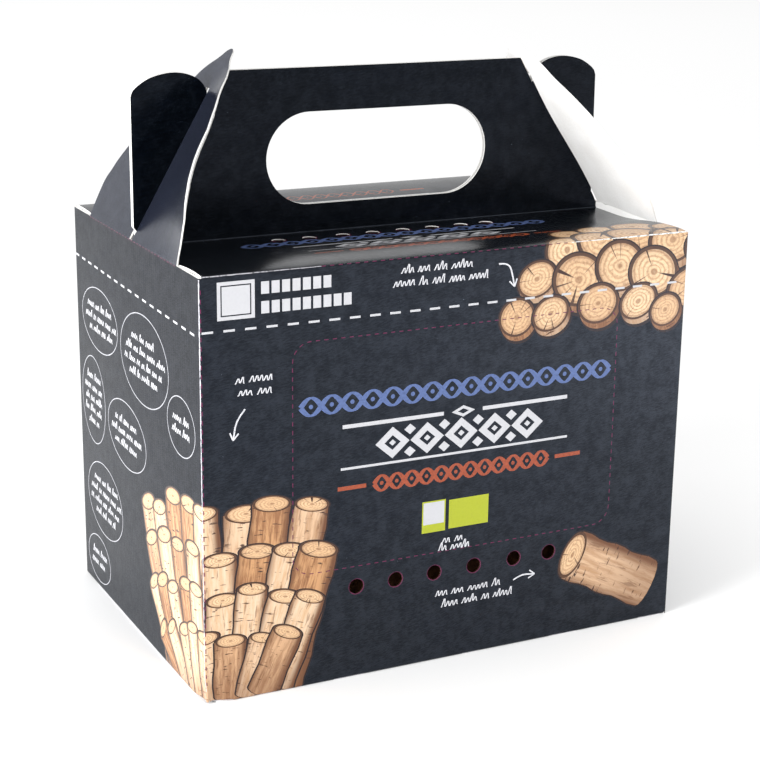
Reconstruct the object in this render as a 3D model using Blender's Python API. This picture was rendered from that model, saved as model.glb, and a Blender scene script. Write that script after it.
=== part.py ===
"""Carry carton of a mushroom grow kit: a printed card box with a gable handle.

Metres, +Z up. The origin is the middle of the underside. The front faces -Y, and +X is to the right
of somebody who looks at the front. The carton is one folded sheet of card, parted here at its
creases. Each panel is a sheet of faces that look outward, thickened to the inside by the card.
"""
import math

import bmesh
import bpy
from mathutils import Matrix, Vector

# Driving dimensions
BOX_WIDTH = 0.2200
BOX_DEPTH = 0.1542
BOX_HEIGHT = 0.1735
CARD = 0.0012
GAP = 0.0003
CORNER_RADIUS = 0.0016

# Roof, from the front edge to the crease under the handle: distance behind the front face, height
ROOF_HALF_WIDTH = 0.1082
ROOF_FOOT_Z = 0.1720
ROOF_PROFILE = (
    (0.0040, 0.1746),
    (0.0110, 0.1747),
    (0.0200, 0.1742),
    (0.0300, 0.1731),
    (0.0400, 0.1718),
    (0.0510, 0.1708),
    (0.0620, 0.1705),
)
CREASE_RADIUS = 0.0015

# Round vent holes
ROOF_VENTS_X = (-0.0500, -0.0360, -0.0205, -0.0065, 0.0078, 0.0220, 0.0360, 0.0485)
ROOF_VENTS_FROM_FRONT = 0.0648
ROOF_VENT_RADIUS = 0.0030
FRONT_VENTS_X = (-0.0444, -0.0267, -0.0088, 0.0099, 0.0292, 0.0464)
FRONT_VENTS_Z = 0.0400
FRONT_VENT_RADIUS = 0.0032
VENT_SIDES = 20
CUTTER_LENGTH = 0.0120

# Pointed side flaps: distance up the flap from its crease, half width
FLAP_LEAN = math.radians(30)
FLAP_OUTLINE = (
    (0.0007, 0.0538),
    (0.0080, 0.0562),
    (0.0180, 0.0580),
    (0.0250, 0.0568),
    (0.0350, 0.0503),
    (0.0430, 0.0448),
    (0.0520, 0.0390),
    (0.0610, 0.0303),
    (0.0690, 0.0209),
    (0.0750, 0.0153),
    (0.0820, 0.0070),
    (0.0862, 0.0032),
    (0.0874, 0.0019),
)
FLAP_SLOT_TOP = 0.0690
FLAP_SLOT_HALF_WIDTH = CARD + 1.5 * GAP
FLAP_COLUMNS = 5

# The front half of the left flap has sprung out, most at its edge
BEND_DEPTH = 0.0098
BEND_END = 0.0790
BEND_SKEW = 0.9

# Handle: right half of its outline
HANDLE_FOOT_HALF_WIDTH = 0.1079
HANDLE_STEP_Z = (0.1770, 0.1785)
HANDLE_TOP_Z = 0.2400
NOTCH_FOOT_Z = 0.2293
EAR = (
    (0.1090, 0.2310),
    (0.1082, 0.2332),
    (0.1060, 0.2353),
    (0.1015, 0.2380),
    (0.0960, 0.2396),
    (0.0905, 0.2401),
    (0.0850, 0.2393),
    (0.0805, 0.2373),
    (0.0778, 0.2345),
    (0.0766, 0.2318),
    (0.0767, 0.2300),
)
HAND_HOLE_WIDTH = 0.1040
HAND_HOLE_Z = (0.1826, 0.2216)
HAND_HOLE_STEPS = 10

# Bagged block that fills most of the box
BAG_SIZE = (0.2040, 0.1380, 0.1480)
BAG_ROUNDING = 0.0180
BAG_STEPS = 4

# Colours and roughness
PRINTED = (0.030, 0.033, 0.039)
PRINTED_SIDE = (0.075, 0.080, 0.090)
INSIDE = (0.780, 0.770, 0.740)
BAG = (0.160, 0.085, 0.045)
CARD_ROUGHNESS = 0.50
BAG_ROUGHNESS = 0.35

SIDE_X = BOX_WIDTH / 2
FRONT_Y = -BOX_DEPTH / 2
HANDLE_FACE_Y = -(CARD + GAP / 2)
HALF_TURN = Matrix.Rotation(math.pi, 4, "Z")


def clear_scene():
    for found in list(bpy.data.objects):
        bpy.data.objects.remove(found, do_unlink=True)


def arc(centre, radius, start, end, steps=4):
    """Points on an arc, both ends included. Angles are in degrees."""
    points = []
    for i in range(steps + 1):
        angle = math.radians(start + (end - start) * i / steps)
        points.append((centre[0] + radius * math.cos(angle), centre[1] + radius * math.sin(angle)))
    return points


def new_object(name, shape, colour, roughness):
    """Turn a bmesh into a named object with a material of its own."""
    mesh = bpy.data.meshes.new(name)
    shape.to_mesh(mesh)
    shape.free()
    finish = bpy.data.materials.new(name)
    finish.use_nodes = True
    shader = finish.node_tree.nodes["Principled BSDF"]
    shader.inputs["Base Color"].default_value = (*colour, 1.0)
    shader.inputs["Roughness"].default_value = roughness
    shader.inputs["Metallic"].default_value = 0.0
    mesh.materials.append(finish)
    made = bpy.data.objects.new(name, mesh)
    bpy.context.scene.collection.objects.link(made)
    return made


def card_sheet(name, shape, outward, colour):
    """Object from a sheet of faces: they are turned outward, and the card lies behind them."""
    facing = sum((face.calc_area() * face.normal for face in shape.faces), Vector())
    if facing.dot(Vector(outward)) < 0:
        bmesh.ops.reverse_faces(shape, faces=shape.faces[:])
    made = new_object(name, shape, colour, CARD_ROUGHNESS)
    card = made.modifiers.new("card", "SOLIDIFY")
    card.thickness = CARD
    card.offset = -1.0
    card.use_even_offset = True
    return made


def folded_sheet(name, path, start, end, place, outward, colour):
    """Sheet that follows the path and runs straight across it from start to end."""
    shape = bmesh.new()
    rows = [[shape.verts.new(place(u, v, w)) for w in (start, end)] for u, v in path]
    for low, high in zip(rows, rows[1:]):
        shape.faces.new((low[0], low[1], high[1], high[0]))
    shape.normal_update()
    return card_sheet(name, shape, outward, colour)


def flat_sheet(name, outline, holes, place, outward, colour):
    """Flat sheet inside the outline and outside the holes."""
    shape = bmesh.new()
    for loop in (outline, *holes):
        verts = [shape.verts.new(place(u, v)) for u, v in loop]
        for first, second in zip(verts, verts[1:] + verts[:1]):
            shape.edges.new((first, second))
    bmesh.ops.triangle_fill(shape, use_beauty=True, edges=shape.edges[:])
    shape.normal_update()
    return card_sheet(name, shape, outward, colour)


def punch_vents(sheet, centres, radius, turn):
    """Cut round holes through a sheet with bars along Z, turned by the matrix."""
    shape = bmesh.new()
    for centre in centres:
        placed = Matrix.Translation(centre) @ turn
        bmesh.ops.create_cone(
            shape,
            cap_ends=True,
            segments=VENT_SIDES,
            radius1=radius,
            radius2=radius,
            depth=CUTTER_LENGTH,
            matrix=placed,
        )
    cutter = new_object(sheet.name + "_cutter", shape, INSIDE, CARD_ROUGHNESS)
    cutter.hide_render = True
    cutter.display_type = "WIRE"
    vents = sheet.modifiers.new("vents", "BOOLEAN")
    vents.operation = "DIFFERENCE"
    vents.solver = "EXACT"
    vents.object = cutter


def build_base():
    """The closed bottom, set in between the walls."""
    x = SIDE_X - CARD - GAP
    y = -FRONT_Y - CARD - GAP
    outline = ((-x, -y), (x, -y), (x, y), (-x, y))
    flat_sheet("base_panel", outline, (), lambda u, v: (u, v, 0.0), (0, 0, -1), INSIDE)


def build_front_and_back():
    """Front and back walls, which hold the rounded upright corners of the box."""
    x = SIDE_X - CORNER_RADIUS
    y = FRONT_Y + CORNER_RADIUS
    path = arc((-x, y), CORNER_RADIUS, 180, 270) + arc((x, y), CORNER_RADIUS, 270, 360)
    ends = (0.0, ROOF_FOOT_Z)
    front = folded_sheet("front_panel", path, *ends, lambda u, v, w: (u, v, w), (0, -1, 0), PRINTED)
    centres = [(vent_x, FRONT_Y, FRONT_VENTS_Z) for vent_x in FRONT_VENTS_X]
    punch_vents(front, centres, FRONT_VENT_RADIUS, Matrix.Rotation(math.pi / 2, 4, "X"))
    back = folded_sheet("back_panel", path, *ends, lambda u, v, w: (u, v, w), (0, -1, 0), PRINTED)
    back.matrix_world = HALF_TURN


def build_sides():
    """Side walls. The middle of the upper edge is a hair lower, where the flap's crease is."""
    y = -FRONT_Y - CORNER_RADIUS - GAP
    shoulder = FLAP_OUTLINE[0][1] + GAP
    top = BOX_HEIGHT
    outline = [(-y, 0.0), (y, 0.0), (y, top), (shoulder, top), (shoulder, top - GAP)]
    outline += [(-shoulder, top - GAP), (-shoulder, top), (-y, top)]
    for name, side in (("left_panel", -1), ("right_panel", 1)):
        x = side * SIDE_X
        flat_sheet(name, outline, (), lambda u, v: (x, u, v), (side, 0, 0), PRINTED_SIDE)


def build_roofs():
    """Two roof halves: over the front edge, sagging to the crease, and turned up there."""
    fold = (FRONT_Y + CORNER_RADIUS, ROOF_FOOT_Z + GAP)
    crease_z = ROOF_PROFILE[-1][1]
    crease = (HANDLE_FACE_Y - CREASE_RADIUS, crease_z + CREASE_RADIUS)
    path = arc(fold, CORNER_RADIUS, 180, 110)
    path += [(FRONT_Y + distance, height) for distance, height in ROOF_PROFILE]
    path += arc(crease, CREASE_RADIUS, 270, 360)
    ends = (-ROOF_HALF_WIDTH, ROOF_HALF_WIDTH)
    front = folded_sheet("front_roof", path, *ends, lambda u, v, w: (w, u, v), (0, 0, 1), PRINTED)
    vents_y = FRONT_Y + ROOF_VENTS_FROM_FRONT
    centres = [(vent_x, vents_y, crease_z) for vent_x in ROOF_VENTS_X]
    punch_vents(front, centres, ROOF_VENT_RADIUS, Matrix.Identity(4))
    rear = folded_sheet("rear_roof", path, *ends, lambda u, v, w: (w, u, v), (0, 0, 1), PRINTED)
    rear.matrix_world = HALF_TURN


def flap_inner_x(z):
    """Distance of the flap's inner face from the middle plane, at a height."""
    foot_x = SIDE_X - CARD * math.cos(FLAP_LEAN)
    foot_z = BOX_HEIGHT - CARD * math.sin(FLAP_LEAN)
    return foot_x - math.tan(FLAP_LEAN) * (z - foot_z)


def handle_outline():
    """Outline of a handle panel: ears past the flaps, and notches that hold the flaps' tips."""
    foot_z = ROOF_PROFILE[-1][1] + CREASE_RADIUS + GAP
    clearance = GAP / math.cos(FLAP_LEAN)
    ear_x = EAR[0][0]
    right = [(HANDLE_FOOT_HALF_WIDTH, foot_z), (HANDLE_FOOT_HALF_WIDTH, HANDLE_STEP_Z[0])]
    right += [(ear_x, HANDLE_STEP_Z[1]), *EAR]
    right += [(flap_inner_x(z) - clearance, z) for z in (NOTCH_FOOT_Z, HANDLE_TOP_Z)]
    return right + [(-x, z) for x, z in reversed(right)]


def hand_hole():
    """Long hole with half-round ends."""
    radius = (HAND_HOLE_Z[1] - HAND_HOLE_Z[0]) / 2
    middle_z = HAND_HOLE_Z[0] + radius
    x = HAND_HOLE_WIDTH / 2 - radius
    right = arc((x, middle_z), radius, -90, 90, HAND_HOLE_STEPS)
    return right + arc((-x, middle_z), radius, 90, 270, HAND_HOLE_STEPS)


def build_handles():
    """Two handle panels, back to back over the middle of the roof."""
    for name, turn in (("front_handle", Matrix.Identity(4)), ("rear_handle", HALF_TURN)):
        made = flat_sheet(
            name,
            handle_outline(),
            (hand_hole(),),
            lambda u, v: (u, HANDLE_FACE_Y, v),
            (0, -1, 0),
            PRINTED,
        )
        made.matrix_world = turn


def flap_point(side, up, y, half_width, depth):
    """A point of a flap's outer face. depth is how far the front edge stands out of the flat."""
    out = Vector((side * math.cos(FLAP_LEAN), 0.0, math.sin(FLAP_LEAN)))
    along = Vector((-side * math.sin(FLAP_LEAN), 0.0, math.cos(FLAP_LEAN)))
    point = Vector((side * SIDE_X, y, BOX_HEIGHT)) + up * along
    if y < 0 and up < BEND_END:
        bend = math.sin(math.pi * (up / BEND_END) ** BEND_SKEW)
        point += depth * bend * (y / half_width) ** 2 * out
    return point


def build_flap(name, side, depth):
    """Pointed flap that leans in from the side wall, with a slot for the handle up its middle."""
    shape = bmesh.new()
    slot = FLAP_SLOT_HALF_WIDTH
    rows = []
    for up, half_width in FLAP_OUTLINE:
        step = (half_width - slot) / (FLAP_COLUMNS - 1)
        right = [slot + step * i for i in range(FLAP_COLUMNS)]
        across = [-y for y in reversed(right)] + right
        rows.append([shape.verts.new(flap_point(side, up, y, half_width, depth)) for y in across])
    for (up, _), low, high in zip(FLAP_OUTLINE, rows, rows[1:]):
        for column in range(2 * FLAP_COLUMNS - 1):
            in_slot = column == FLAP_COLUMNS - 1 and up < FLAP_SLOT_TOP
            if not in_slot:
                shape.faces.new((low[column], low[column + 1], high[column + 1], high[column]))
    shape.normal_update()
    card_sheet(name, shape, (side, 0, 0), PRINTED_SIDE)


def build_bag():
    """The bagged block, a rounded brick that stands on the bottom of the box."""
    shape = bmesh.new()
    bmesh.ops.create_cube(shape, size=1.0, matrix=Matrix.Diagonal((*BAG_SIZE, 1.0)))
    bag = new_object("substrate_bag", shape, BAG, BAG_ROUGHNESS)
    bag.location.z = CARD + GAP + BAG_SIZE[2] / 2
    rounding = bag.modifiers.new("rounding", "BEVEL")
    rounding.width = BAG_ROUNDING
    rounding.segments = BAG_STEPS
    bag.data.shade_smooth()


def main():
    clear_scene()
    build_base()
    build_front_and_back()
    build_sides()
    build_roofs()
    build_handles()
    build_flap("left_flap", -1, BEND_DEPTH)
    build_flap("right_flap", 1, 0.0)
    build_bag()


main()
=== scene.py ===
"""Looks of the closed carry carton of a mushroom grow kit: a printed card box with a gable handle.

Every panel is a sheet of card with a printed outer face, a white inner face and white cut edges.
A sheet is designed flat, in millimetres, as (u, v) seen from outside, and is then placed in the
frame. Its print is a list of marks: outlines in (u, v), which part the outer face into inks.
"""

import math
import random
from bisect import bisect_left
from collections import namedtuple

import bpy
from mathutils import Matrix, Vector
from mathutils.geometry import delaunay_2d_cdt


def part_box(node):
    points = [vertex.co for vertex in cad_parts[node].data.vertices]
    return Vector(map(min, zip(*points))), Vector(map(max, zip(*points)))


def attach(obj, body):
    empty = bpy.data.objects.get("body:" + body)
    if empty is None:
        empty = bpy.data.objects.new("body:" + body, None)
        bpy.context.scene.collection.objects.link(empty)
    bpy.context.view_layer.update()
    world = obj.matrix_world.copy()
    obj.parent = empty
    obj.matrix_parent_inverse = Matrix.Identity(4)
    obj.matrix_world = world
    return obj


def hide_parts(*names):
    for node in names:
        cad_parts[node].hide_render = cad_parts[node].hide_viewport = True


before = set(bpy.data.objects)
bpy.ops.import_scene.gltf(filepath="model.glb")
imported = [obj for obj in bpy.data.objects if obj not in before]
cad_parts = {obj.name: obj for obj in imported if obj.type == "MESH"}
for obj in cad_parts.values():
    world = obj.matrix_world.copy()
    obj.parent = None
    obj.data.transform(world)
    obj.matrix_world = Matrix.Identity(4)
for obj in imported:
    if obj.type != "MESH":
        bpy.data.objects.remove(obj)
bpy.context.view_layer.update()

# Sizes read from the frame, in millimetres
MM = 0.001
SIDE_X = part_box("front_panel")[1][0] / MM
FRONT_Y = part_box("front_panel")[0][1] / MM
FOOT_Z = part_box("front_panel")[1][2] / MM
TOP_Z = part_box("left_panel")[1][2] / MM
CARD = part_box("base_panel")[1][2] / MM
BASE_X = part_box("base_panel")[1][0] / MM
HANDLE_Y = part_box("front_handle")[0][1] / MM

# Box corners, roof and creases
CORNER_RADIUS = 0.9
FOLD_RADIUS = 0.6
CREASE_RADIUS = 0.5
ROOF_X = SIDE_X - CARD - 0.1
ROOF_PROFILE = (
    (4.0, 174.4),
    (11.0, 174.5),
    (20.0, 174.1),
    (30.0, 173.1),
    (40.0, 171.8),
    (51.0, 170.8),
    (62.0, 170.5),
)
CREASE_Z = ROOF_PROFILE[-1][1]
HANDLE_FOOT_Z = CREASE_Z + CREASE_RADIUS

# Vent holes
ROOF_VENTS_X = (-50.0, -36.0, -20.5, -6.5, 7.8, 22.0, 36.0, 48.5)
ROOF_VENTS_FROM_FRONT = 64.8
ROOF_VENT_RADIUS = 3.0
FRONT_VENTS_X = (-44.4, -26.7, -8.8, 9.9, 29.2, 46.4)
FRONT_VENTS_Z = 40.0
FRONT_VENT_RADIUS = 3.2

# Side flaps: distance up the flap, half width
FLAP_LEAN = math.radians(30)
FLAP_OUTLINE = (
    (0.0, 53.8),
    (8.0, 56.2),
    (17.0, 57.5),
    (22.0, 55.9),
    (27.0, 54.4),
    (35.0, 50.2),
    (43.0, 44.7),
    (52.0, 38.8),
    (61.0, 30.1),
    (69.0, 20.7),
    (75.0, 15.2),
    (82.0, 6.2),
    (86.2, 3.0),
    (87.3, 1.2),
    (87.5, 0.0),
)
FLAP_FOOT_HALF = FLAP_OUTLINE[0][1]
FLAP_LENGTH = FLAP_OUTLINE[-1][0]
FLAP_CLEARANCE = 0.3
FLAP_SLOT_TOP = 69.0
FLAP_SLOT_HALF_WIDTH = 1.65
BEND_DEPTH = 9.8
BEND_END = 79.0
BEND_SKEW = 0.9
HUMP_DEPTH = 1.6
HUMP_SPAN = (5.0, 55.0)
TIP_CURL = 1.6
TIP_CURL_FROM = 77.5

# Handle
HANDLE_FOOT = ((107.9, HANDLE_FOOT_Z), (107.9, 177.0), (109.0, 178.5))
HANDLE_PUSHED_FOOT = ((112.3, HANDLE_FOOT_Z), (112.3, 173.2), (110.9, 176.0), (109.5, 178.4))
HANDLE_TOP_Z = 240.0
NOTCH_FOOT_Z = 229.3
EAR = (
    (109.0, 231.0),
    (108.2, 233.2),
    (106.0, 235.3),
    (101.5, 238.0),
    (96.0, 239.6),
    (90.5, 240.1),
    (85.0, 239.3),
    (80.5, 237.3),
    (77.8, 234.5),
    (76.6, 231.8),
    (76.7, 230.0),
)
HAND_HOLE_WIDTH = 104.0
HAND_HOLE_MIDDLE = 1.2
HAND_HOLE_Z = (182.6, 221.6)

# How the card has given way: bulges, a push beside the handle at the right, and a crushed corner
FRONT_BULGE = 1.0
SIDE_BULGE = 0.8
HANDLE_BOW = 0.9
HANDLE_BOW_HALF = 75.0
PUSH_DEPTH = 3.9
PUSH_HALF_WIDTH = 54.0
PUSH_FADE = (8.0, 60.0)
CRUSH_RADIUS = 14.0
CRUSH = Vector((1.1, 0.9, 0.9))

# Bag
BAG_HALF = (101.0, 68.0, 72.0)
BAG_FOOT_Z = 2.9
BAG_SQUARE = 0.28
BAG_SLACK = 0.004
BAG_SAG = 1.5
BAG_SAG_WAVES = (0.06, 0.08)
BAG_TOP_FROM = 0.9
BAG_CREASES = 9

# Height of the cut edges, which are pressed thinner than the card
EDGE = 0.8
THIN_EDGE = 0.65

# Half of the step over which a sheet's slope is measured
NORMAL_STEP = 0.1

Mark = namedtuple("Mark", "loop ink local", defaults=(None,))


# Curves in the flat


def smooth_line(points, step):
    """Catmull-Rom curve through the points, with a point about every step."""
    ends = [points[0], *points, points[-1]]
    line = []
    for p0, p1, p2, p3 in zip(ends, ends[1:], ends[2:], ends[3:]):
        count = max(1, round(math.dist(p1, p2) / step))
        for i in range(count):
            t = i / count
            weights = (
                -t + 2 * t**2 - t**3,
                2 - 5 * t**2 + 3 * t**3,
                t + 4 * t**2 - 3 * t**3,
                t**3 - t**2,
            )
            pairs = zip(weights, (p0, p1, p2, p3))
            line.append(tuple(sum((w / 2 * Vector(p) for w, p in pairs), Vector((0.0, 0.0)))))
    return line + [tuple(points[-1])]


def arc(centre, radius, start, end, steps):
    """Points on an arc, both ends included. Angles are in degrees; radius may be a pair."""
    across, up = radius if isinstance(radius, tuple) else (radius, radius)
    points = []
    for i in range(steps + 1):
        angle = math.radians(start + (end - start) * i / steps)
        points.append((centre[0] + across * math.cos(angle), centre[1] + up * math.sin(angle)))
    return points


def ring(centre, radius, steps):
    """Closed round or oval outline."""
    return arc(centre, radius, 0, 360, steps)[:-1]


def turned(points, centre, degrees):
    """Points turned about a centre."""
    turn = Matrix.Rotation(math.radians(degrees), 2)
    middle = Vector(centre)
    return [tuple(middle + turn @ (Vector(p) - middle)) for p in points]


def soft_box(low, high, radius, steps):
    """Rectangle with round corners."""
    (u0, v0), (u1, v1) = low, high
    corners = ((u1, v0, 270), (u1, v1, 0), (u0, v1, 90), (u0, v0, 180))
    loop = []
    for u, v, start in corners:
        inward = (math.copysign(radius, (u0 + u1) / 2 - u), math.copysign(radius, (v0 + v1) / 2 - v))
        centre = (u + inward[0], v + inward[1])
        loop += arc(centre, radius, start, start + 90, steps)
    return loop


def along(points, closed=False):
    """(point, distance from the start) for each point of a line."""
    line = list(points) + ([points[0]] if closed else [])
    reached = 0.0
    out = [(line[0], 0.0)]
    for a, b in zip(line, line[1:]):
        reached += math.dist(a, b)
        out.append((b, reached))
    return out


def cut_out(measured, start, end):
    """The stretch of a measured line between two distances."""
    def at(distance):
        for (a, da), (b, db) in zip(measured, measured[1:]):
            if distance <= db:
                part = (distance - da) / max(db - da, 1e-9)
                return (a[0] + (b[0] - a[0]) * part, a[1] + (b[1] - a[1]) * part)
        return measured[-1][0]

    middle = [p for p, d in measured if start + 0.01 < d < end - 0.01]
    return [at(start), *middle, at(end)]


# Marks


def stroke(points, width, ink, rough=0.0, seed=0):
    """A line of ink. width is a number or a function of the place along it, from 0 to 1."""
    draw = random.Random(seed)
    count = len(points)
    sides = ([], [])
    for i, point in enumerate(points):
        before = points[max(i - 1, 0)]
        after = points[min(i + 1, count - 1)]
        run = Vector((after[0] - before[0], after[1] - before[1])).normalized()
        for side, sign in zip(sides, (1, -1)):
            half = (width(i / (count - 1)) if callable(width) else width) / 2
            half *= 1 + rough * draw.uniform(-1, 1)
            side.append((point[0] - sign * half * run.y, point[1] + sign * half * run.x))
    return Mark(sides[1] + sides[0][::-1], ink)


def outline_stroke(points, width, ink, rough, seed):
    """A closed line of ink, in two halves that meet."""
    half = len(points) // 2
    parts = (points[: half + 1], points[half:] + points[:1])
    return [stroke(part, width, ink, rough, seed + i) for i, part in enumerate(parts)]


def dashes(points, dash, gap, width, ink, closed=False):
    """A dashed line along the points."""
    measured = along(points, closed)
    total = measured[-1][1]
    count = max(1, round(total / (dash + gap)))
    pitch = total / count
    return [stroke(cut_out(measured, i * pitch, i * pitch + dash), width, ink) for i in range(count)]


def moved(marks, shift_u, shift_v):
    """The marks somewhere else on the sheet, or on the next one."""
    out = []
    for mark in marks:
        loop = [(u + shift_u, v + shift_v) for u, v in mark.loop]
        local = mark.local
        if local:
            local = lambda u, v, old=mark.local: old(u - shift_u, v - shift_v)
        out.append(Mark(loop, mark.ink, local))
    return out


def wave(u0, u1, v, height, period):
    """A wavy line from u0 to u1, about the height v."""
    count = round((u1 - u0) / WAVE_STEP)
    points = []
    for i in range(count + 1):
        u = u0 + (u1 - u0) * i / count
        points.append((u, v + height * math.sin(2 * math.pi * (u - u0) / period)))
    return points


WAVE_STEP = 0.9


def note(u, v, widths, seed):
    """Rows of chalk scribble about the middle u. The first row is at the height v."""
    draw = random.Random(seed)
    marks = []
    for row, width in enumerate(widths):
        base = v - row * NOTE_PITCH - SCRIBBLE_HEIGHTS[0] / 2
        place = u - width / 2
        while place < u + width / 2 - SCRIBBLE_ROOM:
            line, place = scribble(place, base, draw)
            marks.append(stroke(line, NOTE_LINE, "chalk", CHALK_ROUGH, draw.random()))
            place += SCRIBBLE_GAP
    return marks


def scribble(place, base, draw):
    """A short run of upright turns, and where it ends."""
    line = []
    for i in range(2 * draw.randint(*SCRIBBLE_TURNS) + 1):
        height = draw.choice(SCRIBBLE_HEIGHTS) if i % 2 else draw.uniform(*SCRIBBLE_FEET)
        start = place + SCRIBBLE_SLANT * height
        line += [(start, base + height), (start + SCRIBBLE_TURN, base + height)]
        place += SCRIBBLE_TURN + draw.uniform(*SCRIBBLE_STEPS)
    return line, place


def arrow(points):
    """A curved chalk arrow with an open head."""
    line = smooth_line(points, 1.0)
    tip = line[-1]
    run = Vector((tip[0] - line[-3][0], tip[1] - line[-3][1])).normalized()
    marks = [stroke(line, ARROW_LINE, "chalk", CHALK_ROUGH, 3)]
    for turn in (ARROW_BARB, -ARROW_BARB):
        wing = Matrix.Rotation(math.radians(turn), 2) @ run * ARROW_HEAD
        barb = [tip, (tip[0] + wing.x, tip[1] + wing.y)]
        marks.append(stroke(barb, ARROW_LINE, "chalk", CHALK_ROUGH, 4))
    return marks


def oval_note(centre, radius, widths, seed):
    """A chalk oval around a note."""
    draw = random.Random(seed)
    points = turned(ring(centre, radius, 56), centre, draw.uniform(-3, 3))
    marks = outline_stroke(points, OVAL_LINE, "faint_chalk", 0.14, seed)
    top = centre[1] + (len(widths) - 1) * NOTE_PITCH / 2
    return marks + note(centre[0], top, widths, seed)


NOTE_PITCH = 5.2
NOTE_LINE = 0.48
SCRIBBLE_HEIGHTS = (2.0, 1.8, 2.2, 2.0, 2.3, 3.4)
SCRIBBLE_FEET = (-0.15, 0.25)
SCRIBBLE_SLANT = 0.2
SCRIBBLE_TURNS = (2, 5)
SCRIBBLE_TURN = 0.36
SCRIBBLE_STEPS = (0.40, 0.70)
SCRIBBLE_GAP = 1.1
SCRIBBLE_ROOM = 2.5
CHALK_ROUGH = 0.12
ARROW_LINE = 0.65
ARROW_HEAD = 3.4
ARROW_BARB = 148
OVAL_LINE = 0.45


def numbered(local, number):
    """Local coordinates that carry the number of the drawing in their height."""
    return lambda u, v: (local(u, v)[0], local(u, v)[1] + LOG_STEP * (number + 0.5))


LOG_STEP = 40.0
LOG_FACE = 0.42
LOG_SWELL = 0.05
LOG_WOOD = 0.86
LOG_SHADOW = 0.7
SLICE_WOOD = 0.88
SLICE_DEPTH = (0.10, -0.22)
SLICE_SHADOW = (0.16, -0.32)
SLICE_SHADOW_SHARE = 1.04


def log(foot, length, radius, lean, number, face=LOG_FACE):
    """An upright log with bark, drawn with its cut end on top.

    lean is in degrees to the right, and face is the height of the cut end for a width of 1.
    """
    angle = math.radians(lean)
    up = Vector((math.sin(angle), math.cos(angle)))
    across = Vector((math.cos(angle), -math.sin(angle)))
    start = Vector(foot)

    def at(a, b):
        return tuple(start + a * across + b * up)

    def bark_local(u, v):
        way = Vector((u, v)) - start
        return (way.dot(across) / radius, way.dot(up) / radius)

    def face_local(u, v):
        way = Vector((u, v)) - start - length * up
        return (way.dot(across) / radius, way.dot(up) / (radius * face))

    def body(wide):
        steps = max(3, round(length / 5))
        swell = [wide + LOG_SWELL * radius * math.sin(i * 1.7 + length) for i in range(steps + 1)]
        right = [at(s, length * i / steps) for i, s in enumerate(swell)]
        left = [at(-s, length * i / steps) for i, s in enumerate(swell)]
        under = [at(a, b) for a, b in arc((0, 0), (wide, wide * 0.3), 180, 360, 8)][1:-1]
        return left[::-1] + under + right

    def end(share):
        return [at(a, length + b) for a, b in ring((0, 0), (radius * share, radius * face * share), 26)]

    return [
        Mark(body(radius + LOG_SHADOW), "shadow"),
        Mark(end(1 + LOG_SHADOW / radius), "shadow"),
        Mark(body(radius), "bark", numbered(bark_local, number)),
        Mark(end(1.0), "rind", numbered(face_local, number)),
        Mark(end(LOG_WOOD), "wood", numbered(face_local, number)),
    ]


def slice_of_log(centre, radius, squash, tilt, number):
    """A slice of a log, lying with its growth rings to the front."""
    turn = Matrix.Rotation(math.radians(tilt), 2)
    back = turn.transposed()

    def local(u, v):
        way = back @ (Vector((u, v)) - Vector(centre))
        return (way.x / radius, way.y / (radius * squash))

    def loop(share):
        return turned(ring(centre, (radius * share, radius * squash * share), 34), centre, tilt)

    def dropped(points, drop):
        return [(u + drop[0] * radius, v + drop[1] * radius) for u, v in points]

    place = numbered(local, number)
    return [
        Mark(dropped(loop(SLICE_SHADOW_SHARE), SLICE_SHADOW), "shadow"),
        Mark(loop(1 + LOG_SHADOW / radius), "shadow"),
        Mark(dropped(loop(1.0), SLICE_DEPTH), "bark", place),
        Mark(loop(1.0), "rind", place),
        Mark(loop(SLICE_WOOD), "wood", place),
    ]


# Sheets of card


def parted(outlines, cuts_u, cuts_v):
    """Triangles that follow all outlines and cuts: points, corners, and the outlines round each."""
    points, edges, loops = [], [], []
    for outline in outlines:
        loops.append(list(range(len(points), len(points) + len(outline))))
        points += outline
    far = 2 * SIDE_X + 2 * HANDLE_TOP_Z
    for line in [((u, -far), (u, far)) for u in cuts_u] + [((-far, v), (far, v)) for v in cuts_v]:
        edges.append((len(points), len(points) + 1))
        points += line
    made = delaunay_2d_cdt([Vector(p) for p in points], edges, loops, 0, WELD, True)
    return made[0], made[2], made[5]


# Points that are nearer to each other than this become one
WELD = 1e-4


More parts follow.
